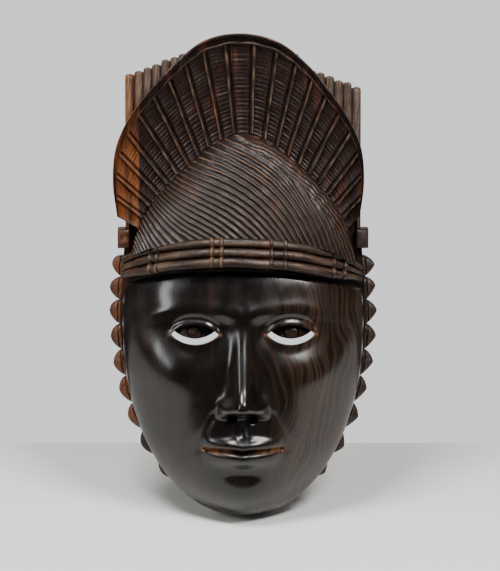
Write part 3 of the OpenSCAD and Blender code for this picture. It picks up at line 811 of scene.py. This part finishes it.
def make_headband():
    for level, name in enumerate(("lower", "middle", "upper")):
        cord = tube("carved_cord_" + name, 28, 260, cord_shape(level))
        finish(cord, HEART_WOOD, ["band_cord_" + name], 50)
    for number in range(len(TIE_ANGLES)):
        front = tie_shape(number, TIE_T)
        rear = tie_shape(number, TIE_REAR)
        tie = slab(f"carved_tie_{number + 1}", 10, 72, front, lambda u, v: rear(u, v)[0])
        wood = TAN_WOOD if number in TAN_TIES else HEART_WOOD
        finish(tie, wood, [f"band_tie_{number + 1}"], 60)


# ---------------------------------------------------------------- cap

CAP_EDGE_D = 25.0
CAP_D = 51.5
CAP_LEFT = -69.7
CAP_RIGHT = 70.3
RIDGE_STEP = 4.6
CAP_EDGE = half_curve(CAP_HALF, np.linspace(0, len(CAP_HALF) - 1, 400))
CAP_ANGLE = np.arctan2(CAP_EDGE[::-1, 1], CAP_EDGE[::-1, 0])
CAP_REACH = np.hypot(CAP_EDGE[::-1, 0], CAP_EDGE[::-1, 1])


def above_cords():
    """The line along the top of the headband, as x and z from left to right."""
    angle = np.linspace(-BAND_END, BAND_END, 200)
    half_h = (CORD_PITCH + CORD_R - 0.3) * squeeze(angle)
    p = band_place(angle, np.full_like(angle, -1.5), BAND_H / 2 + half_h)
    return p[:, 0], p[:, 2]


CORD_TOP_X, CORD_TOP_Z = above_cords()


def cap_share(x, z):
    """How far out towards the cap's edge a point is, from 0 at its foot to 1."""
    reach = np.interp(np.arctan2(z, np.abs(x)), CAP_ANGLE, CAP_REACH)
    return np.hypot(x, z) / reach


def cap_body(u, v):
    """The smooth dome, over columns that stand on the headband."""
    x = mix(CAP_LEFT, CAP_RIGHT, (np.sin(u * 1.35) / math.sin(1.35) + 1) / 2)
    low = np.interp(x, CORD_TOP_X, CORD_TOP_Z)
    high = np.interp(np.abs(x), CAP_EDGE[:, 0], CAP_EDGE[:, 1])
    t = (v + 1) / 2
    z = mix(low, np.maximum(high, low + 0.2), t + 0.06 * np.sin(math.pi * t))
    dome = np.clip(1 - np.clip(cap_share(x, z), 0, 1) ** 2.2, 0, 1) ** 0.62
    return np.stack([x, -mix(CAP_EDGE_D, CAP_D, dome), z], 1)


def cap_ridges(x, z):
    """Height of the slanting ridges: sharp crests with rounded valleys between them."""
    wave = (z + 0.7 * x + 0.006 * x ** 2 - 0.008 * x * (z - 35)
            - 1.68 * np.exp(-(np.clip(x, -75, 80) + 18) / 14))
    count = np.where(wave > -10, wave / RIDGE_STEP, -10 / RIDGE_STEP + (wave + 10) / 7.5)
    count = count + 0.13 * wobble(x, z, 24, 101) + 0.05 * wobble(x, z, 6, 102)
    main = 1 - np.abs(np.sin(math.pi * count))
    r = cap_share(x, z)
    fine = 1 - np.abs(np.sin(math.pi * (r * 34 + 0.25 * wobble(x, z, 9, 103) + 0.05 * z)))
    strip = ease((r - 0.85) / 0.07) * ease((x + 4) / 14)
    height = mix(1.25 * main, 0.5 * fine, strip)
    return height * (0.8 + 0.2 * wobble(x, z, 12, 104)), mix(main, 0.45 + 0.4 * fine, strip)


def cap_shape(u, v):
    """The dome with its ridges, which fade out at the foot."""
    p = cap_body(u, v)
    height, crest = cap_ridges(p[:, 0], p[:, 2])
    fade = ease((1 - v) / 0.03)
    points = out_of(cap_body, np.clip(u, -0.998, 0.998), np.clip(v, -0.998, 0.998),
                    (height - 0.35) * fade)
    # Painted shading: dark in the valleys between the ridges and light on their crests.
    shade_and_wear = 0.1 + 0.95 * crest ** 1.6
    return points, shade_and_wear


def make_cap():
    cap = relief("ridged_cap", 440, 180, cap_shape, -BOARD_T)
    return finish(cap, HEART_WOOD, ["cap"], 60)


# ---------------------------------------------------------------- crest

PANELS = 21
PANEL_ROOT_W = 8.6
PANEL_RIM_W = 14.6
RIM_FROM = 0.9  # the rim's share of the way out from the cap starts here
ROOT_D = 21
RIM_D = 34  # at the top; the fan's foot stands RIM_FALL less far off the wall
RIM_FALL = 8
CREST_WALL = 7
CLEAR_SHARE = 0.57  # the fan's rear rests on the board up to about here, and then stands free
CLEAR_D = 15.1
CREST_LEAN = 2.8  # the fan was carved slightly off centre, towards the left


def rim_depth(s):
    return RIM_D - RIM_FALL * s ** 4


def panel_width(t):
    return mix(PANEL_ROOT_W, PANEL_RIM_W, t)


def fan_place(s, t, lift=0.0):
    """A point of the fan: s round it from left to right, t out from the cap to the edge."""
    root = arch(CAP_HALF, s, len(CAP_HALF) - 2)
    end = arch(FAN_HALF, s, len(FAN_HALF) - 1)
    way = end - root
    gap = 0.3 / np.linalg.norm(way, axis=1)
    p = root + way * mix(gap, 1, t)[:, None]
    p[:, 0] -= CREST_LEAN * t * (1 - 0.95 * bell(s - 0.27, 0.2))
    depth = mix(ROOT_D, rim_depth(s), np.clip(t, 0, 1) ** 1.6) + lift
    return np.stack([p[:, 0], -depth, p[:, 1]], 1)


def fan_rear(s, t):
    points = fan_place(s, t)
    free = np.clip((t - CLEAR_SHARE) / (1 - CLEAR_SHARE), 0, 1)
    depth = np.where(t <= 0.5, BOARD_T, mix(CLEAR_D, rim_depth(s) - CREST_WALL, free))
    points[:, 1] = -depth
    return points


def crowd(u):
    """Spreads columns so that they lie close together beside every groove."""
    n = (u + 1) / 2 * PANELS
    whole = np.clip(np.floor(n), 0, PANELS - 1)
    part = n - whole
    return (whole + part - 0.125 * np.sin(2 * math.pi * part)) / PANELS * 2 - 1


def crest_shape(u, v):
    """Scooped panels with knife cuts across them, parted by narrow grooves."""
    s, t = crowd(u), (v + 1) / 2
    n = (s + 1) / 2 * PANELS
    part = n - np.floor(n + 1e-9)
    from_groove = np.minimum(part, 1 - part) * panel_width(t)
    first = (n < 0.5) | (n > PANELS - 0.5)
    groove = np.where(first & (from_groove < 3), 0, 1.5 * np.exp(-(from_groove / 0.75) ** 2))
    scoop = 1.25 * np.sin(math.pi * np.clip(part, 0, 1)) ** 0.8
    p = fan_place(s, t)
    panel = np.floor(n)
    length = t * mix(62, 50, np.abs(s)) + panel * 37
    chop = 0.55 * np.sin(length * 2 * math.pi / 2.5 + 2.0 * wobble(length, panel * 0, 13, 120))
    chop += 0.45 * wobble(length, p[:, 0] * 0.1, 2.9, 121)
    inside = np.sin(math.pi * np.clip(part, 0, 1)) ** 0.6 * ease((RIM_FROM - t) / 0.04)
    height = -groove - scoop + 0.33 * chop * inside + 0.25 * wobble(p[:, 0], p[:, 2], 15, 122)
    height = height * ease((RIM_FROM + 0.03 - t) / 0.05)
    # Painted shade in each groove, a painted highlight along the strip beside it, and the knife
    # cuts painted lighter on their ridges.
    shade_and_wear = 0.4 + 0.24 * chop * inside - 0.5 * np.exp(-(from_groove / 0.8) ** 2)
    shade_and_wear += 0.2 * np.exp(-((from_groove - 1.6) / 0.6) ** 2)
    p[:, 1] -= height
    return p, shade_and_wear


def make_crest():
    crest = slab("fan_crest", PANELS * 16, 125, crest_shape,
                 lambda u, v: fan_rear(crowd(u), (v + 1) / 2))
    return finish(crest, CARVED_WOOD, ["crest"], 60)


def rim_shape(u, v):
    """A raised lip with a bevelled outer edge, a cove inside it painted with shade, and a thin bead
    painted light.
    """
    w = (v + 1) / 2
    t = mix(RIM_FROM, 1.0, w)
    n = (u + 1) / 2 * PANELS
    sag = 0.05 * np.cos(2 * math.pi * n)
    bead = 1.15 * bell(w - 0.1 - sag, 0.07)
    lip = 2.4 * ease((w - 0.66) / 0.16) * (1 - 0.5 * ease((w - 0.9) / 0.1))
    along = u * 150
    height = 0.35 + bead + lip + 0.18 * wobble(along, w * 8, 16, 130)
    nicks = ease((u + 0.42) / 0.02) * ease((-0.2 - u) / 0.02) * ease((w - 0.84) / 0.05)
    height -= 0.7 * nicks * np.clip(np.sin(along * 2 * math.pi / 1.7), 0, 1)
    facet = 0.35 * wobble(along, along * 0, 11, 131) * ease((w - 0.9) / 0.1)
    p = fan_place(u, t, height)
    # Painted shading: painted highlight on the bead and the outer edge, painted shade in the cove
    # between them.
    shade_and_wear = 0.28 + 0.6 * bell(w - 0.1 - sag, 0.08) + 0.5 * ease((w - 0.9) / 0.08)
    p[:, 2] += facet * 0.4
    return p, shade_and_wear + 0.15 * wobble(along, w * 10, 9, 132)


def make_rim():
    rim = slab("crest_rim_carved", 420, 30, rim_shape,
               lambda u, v: fan_place(u, mix(RIM_FROM, 1.0, (v + 1) / 2), 0.0))
    return finish(rim, CARVED_WOOD, ["crest_rim"], 50)


RIB_HALF_W = 1.15
RIB_OFFSET = 1.75


def make_ribs():
    """One narrow raised strip beside each groove, on its outer side."""
    strips = []
    for k in range(1, PANELS):
        centre = 2 * k / PANELS - 1
        side = -1 if centre < 0 else 1

        def place(u, v, lift, centre=centre, side=side, k=k):
            t = mix(0.01, RIM_FROM + 0.01, (v + 1) / 2)
            drift = 0.2 * wobble(t * 60, t * 0, 34, 140 + k)
            offset = side * (RIB_OFFSET + drift) + RIB_HALF_W * u * (0.75 + 0.35 * t)
            return fan_place(centre + offset / panel_width(t) * 2 / PANELS, t, lift)

        def front(u, v, place=place, k=k):
            top = 0.95 * np.sqrt(np.clip(1 - np.abs(u) ** 2.6, 0, 1))
            rough = 0.1 * wobble(v * 30, u * 2, 8, 170 + k)
            # Painted highlight along the top of each strip, fading darker to its sides.
            shade_and_wear = 0.78 - 0.4 * np.abs(u) ** 2 + 0.14 * wobble(v * 30, u * 2, 12, 190 + k)
            return place(u, v, top + rough * (1 - u ** 2) - 0.5), shade_and_wear

        strips.append(slab(f"rib_{k}", 8, 60, front,
                           lambda u, v, place=place: place(u, v, np.full_like(u, -2.2))))
    ribs = join(strips, "crest_ribs_carved")
    return finish(ribs, CARVED_WOOD, ["crest_ribs"], 60)


# ---------------------------------------------------------------- reeded hair

REEDS = 7
REED_RISE = 12.5  # from the outermost reed to the innermost


def clear_line():
    """Upper half of the line where the fan leaves the board, as x and z, from outside inwards."""
    s = np.linspace(1, 0, 200)
    root = arch(CAP_HALF, s, len(CAP_HALF) - 2)
    end = arch(FAN_HALF, s, len(FAN_HALF) - 1)
    p = mix(root, end, CLEAR_SHARE)
    widest = int(np.argmax(p[:, 0]))
    return p[widest:]


def make_reeds(side, node):
    """Upright flutes behind the fan, each with its own height and a rounded top."""
    (x0, x1), (_, front), (low_z, high_z) = limits(node)
    outer, inner = (abs(x0), abs(x1)) if side < 0 else (abs(x1), abs(x0))
    line = clear_line()[::-1]
    step = (outer - inner) / REEDS
    random = np.random.default_rng(7 + side)
    tops = high_z - np.linspace(REED_RISE, 0, REEDS) + random.uniform(-0.9, 0.5, REEDS)

    def spots(u, v):
        n = (1 - u * side) / 2 * REEDS
        reed = np.clip(np.floor(n), 0, REEDS - 1)
        part = np.clip(n - reed, 0, 1)
        across = outer - n * step
        top = tops[reed.astype(int)] - 4.4 * (part - 0.5) ** 2
        base = np.interp(across, line[:, 0], line[:, 1], right=low_z)
        z = mix(np.minimum(base, top - 1), top, (v + 1) / 2)
        bow = 0.35 * wobble(z, reed * 17, 55, 210) * np.sin(math.pi * part)
        return side * (across + bow), z, part, reed

    def face(u, v):
        x, z, part, reed = spots(u, v)
        flute = np.sin(math.pi * np.clip(part, 0, 1)) ** 0.4
        depth = BOARD_T + 0.4 + (front - BOARD_T - 0.6) * flute
        depth += 0.35 * wobble(z, x * 3, 16, 211) * flute + 0.2 * wobble(x * 3, z * 0.1, 2.4, 212)
        depth -= 1.2 * ease((v - 0.97) / 0.03)
        # Painted shade in the gaps between the flutes, lighter on their rounded tops.
        shade_and_wear = 0.15 + 0.6 * flute + 0.25 * wobble(x * 4, z * 0.3, 4, 213)
        return np.stack([x, -depth, z], 1), shade_and_wear

    def rear(u, v):
        x, z, _, _ = spots(u, v)
        return np.stack([x, np.zeros_like(x), z], 1)

    reeds = slab(node + "_carved", REEDS * 14, 60, face, rear)
    return finish(reeds, REED_WOOD, [node], 50)


# ---------------------------------------------------------------- lugs and fringe

def make_lug(side, node):
    """The square peg at a temple, with its edges knocked off."""
    (x0, x1), (d0, d1), (z0, z1) = limits(node)

    def shape(u, v):
        wide = (x1 - x0) / 2
        tall = (z1 - z0) / 2
        x = (x0 + x1) / 2 + u * wide
        z = (z0 + z1) / 2 + v * tall
        edge = np.maximum(np.abs(u) ** 9, np.abs(v) ** 9)
        depth = d1 - 0.3 - 1.5 * edge - 0.8 * ease(u * side) + 0.4 * wobble(x, z, 7, 230 + side)
        # The shading value varies at random and is lower, so darker, along the knocked-off edges.
        shade_and_wear = 0.5 + 0.25 * wobble(x, z, 4, 231) - 0.3 * edge
        return np.stack([x, -depth, z], 1), shade_and_wear

    lug = relief(node + "_carved", 24, 34, shape, -d0)
    return finish(lug, FRINGE_WOOD, [node], 60)


BOARD_LEDGE = 1.5
BOARD_CHEEK_W = FACE_HALF + BOARD_LEDGE
BOARD_HEAD_W = 74.0
TEMPLE_Z = 20.8
FRINGE_TOP_Z = 3
BOARD_OVAL_Z = -30.0  # the board is widest here, and oval below
CHIN_OVER = 8
BOARD_LOW_H = BOARD_OVAL_Z - CHIN_Z - CHIN_OVER
BOARD_POWER = 2.1
SCALLOPS = 11
SCALLOP_OUT = 6.5
SCALLOP_GROWTH = 0.78  # each scallop is this much longer than the one above it
SCALLOP_FRONT_D = 10.6


def fringe_edge():
    """The board's edge from the temple down to the bottom, and the length run along it."""
    z = np.linspace(FRINGE_TOP_Z, BOARD_OVAL_Z, 9)
    upper = np.stack([mix(BOARD_CHEEK_W, BOARD_HEAD_W,
                          (z - BOARD_OVAL_Z) / (TEMPLE_Z - BOARD_OVAL_Z)), z], 1)
    a = np.linspace(0, math.pi / 2, 121)[1:]
    lower = np.stack([BOARD_CHEEK_W * np.cos(a) ** (2 / BOARD_POWER),
                      BOARD_OVAL_Z - BOARD_LOW_H * np.sin(a) ** (2 / BOARD_POWER)], 1)
    edge = np.concatenate([upper, lower])
    steps = np.linalg.norm(np.diff(edge, axis=0), axis=1)
    return edge, np.concatenate([[0], np.cumsum(steps)])


def make_scallop(side, number):
    """One scale of the fringe: an inner block, a crease, and a pillowed tip."""
    node = f"{'left' if side < 0 else 'right'}_scallop_{number + 1}"
    edge, runs = fringe_edge()
    first = runs[-1] / SCALLOPS - SCALLOP_GROWTH * (SCALLOPS - 1) / 2

    def at(i):
        run = min(runs[-1], i * first + SCALLOP_GROWTH * i * (i - 1) / 2)
        return np.array([np.interp(run, runs, edge[:, 0]), np.interp(run, runs, edge[:, 1])])

    start, end = at(number), at(number + 1)
    way = (end - start) / np.linalg.norm(end - start)
    out = np.array([-way[1], way[0]])
    start, end = start + way * 0.25, end - way * 0.25
    random = np.random.default_rng(400 + 20 * side + number)
    reach = SCALLOP_OUT * random.uniform(0.93, 1.04)
    peak = 0.78 * random.uniform(0.9, 1.12)

    def shape(u, v):
        k, w = (u + 1) / 2, (v + 1) / 2
        round_tip = np.sin(math.pi * np.clip(k, 0, 1) ** peak) ** 0.75
        keen_tip = 1 - np.abs(2 * np.clip(k, 0, 1) ** peak - 1) ** 1.25
        tip = mix(round_tip, keen_tip, 0.75 if side > 0 else 0.1)
        h = reach * np.clip(tip, 0, 1) + 0.8
        p = mix(start, end, k[:, None]) + out * (w * (h + 1.2) - 1.2)[:, None]
        far = w * (h + 1.2)
        rough = wobble(p[:, 0], p[:, 1], 5, 300 + number)
        depth = SCALLOP_FRONT_D - 1.9 * w ** 2.5 - 1.4 * np.abs(u) ** 5 + 0.3 * rough
        crease = bell(far - 3.1 - 0.4 * rough, 0.4)
        depth -= 0.9 * crease
        # Painted shade in the crease and at the ends, and a painted highlight along the ridge of
        # the pillowed tip.
        shade_and_wear = 0.52 + 0.3 * bell(far - 3.9, 0.5) - 0.5 * crease - 0.3 * np.abs(u) ** 6
        return np.stack([side * p[:, 0], -depth, p[:, 1]], 1), shade_and_wear + 0.12 * rough

    scale = relief(node + "_carved", 26, 24, shape, -1)
    return finish(scale, FRINGE_WOOD, [node], 50)


# ---------------------------------------------------------------- the whole mask

make_face()
make_eye(-1, "left_eye")
make_eye(1, "right_eye")
make_headband()
make_cap()
make_crest()
make_rim()
make_ribs()
make_reeds(-1, "left_reeds")
make_reeds(1, "right_reeds")
make_lug(-1, "left_lug")
make_lug(1, "right_lug")
for scallop_number in range(SCALLOPS):
    make_scallop(-1, scallop_number)
    make_scallop(1, scallop_number)

# The CAD nodes that still show are the board, the band's core and the hanger.
for name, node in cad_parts.items():
    node.data.materials.clear()
    node.data.materials.append(STEEL if name.startswith("hang") else CARVED_WOOD)


# ---------------------------------------------------------------- stage, light and camera

def area_light(name, place, target, size, power):
    """A white rectangular lamp that points at a target."""
    deselect()
    bpy.ops.object.light_add(type="AREA", location=place)
    lamp = bpy.context.object
    lamp.name = name
    lamp.data.shape = "RECTANGLE"
    lamp.data.size, lamp.data.size_y = size
    lamp.data.energy = power
    lamp.rotation_euler = (Vector(target) - Vector(place)).to_track_quat("-Z", "Y").to_euler()


def stage_plane(name, corners, material):
    """A flat stage piece through four corners, given in metres."""
    deselect()
    bpy.ops.mesh.primitive_plane_add(size=1)
    plane = bpy.context.object
    plane.name = plane.data.name = name
    for vertex, place in zip(plane.data.vertices, corners):
        vertex.co = place
    plane.data.materials.append(material)


# The mask leans back in use, so the table drops away towards the viewer. It ends in front where
# the picture does, so that the polished face doesn't mirror a white table.
LEAN = math.tan(math.radians(12))
TABLE_FRONT = -0.17
TABLE_REAR = 0.12


def table_z(y):
    """Level of the table, which just clears the chin."""
    return CHIN_Z * MM - 0.0005 + (y + 0.012) * LEAN


CLOTH, cloth_shader = new_material("matt_white_cloth")
cloth_shader.inputs["Base Color"].default_value = tone("#e4e2dd")
cloth_shader.inputs["Roughness"].default_value = 0.95
stage_plane("table", [(x, y, table_z(y)) for y in (TABLE_FRONT, TABLE_REAR)
                      for x in (-1.5, 1.5)], CLOTH)

# A pale screen, evenly lit from within, stands far behind.
SCREEN, screen_shader = new_material("lit_pale_screen")
screen_shader.inputs["Base Color"].default_value = tone("#000000")
screen_shader.inputs["Emission Color"].default_value = tone("#dfe0e3")
screen_shader.inputs["Emission Strength"].default_value = 1.4
stage_plane("screen", [(x, 3.6, z) for z in (-2.0, 3.0) for x in (-2.6, 2.6)], SCREEN)

world = bpy.data.worlds.new("dim_room")
world.use_nodes = True
world.node_tree.nodes["Background"].inputs["Color"].default_value = tone("#cfd0d2")
world.node_tree.nodes["Background"].inputs["Strength"].default_value = 0.12
bpy.context.scene.world = world

middle = (0.0, -0.05, -0.02)
area_light("window_right", (0.55, -0.9, 0.8), middle, (0.5, 0.3), 22)
area_light("ceiling_front", (-0.35, -0.75, 1.1), middle, (0.5, 0.3), 22)
area_light("fill_left", (-1.1, -0.7, 0.35), middle, (0.35, 0.6), 7)

VIEW_HEIGHT = 0.355
VIEW_ELEVATION = math.radians(6)
VIEW_DISTANCE = 3.0
aim = (0.0044, -0.053, -0.0115)
bpy.ops.object.camera_add()
camera = bpy.context.object
camera.location = (aim[0], aim[1] - VIEW_DISTANCE * math.cos(VIEW_ELEVATION),
                   aim[2] + VIEW_DISTANCE * math.sin(VIEW_ELEVATION))
camera.rotation_euler = (math.pi / 2 - VIEW_ELEVATION, 0, 0)
camera.data.sensor_fit = "VERTICAL"
camera.data.angle = 2 * math.atan(VIEW_HEIGHT / 2 / VIEW_DISTANCE)
bpy.context.scene.camera = camera
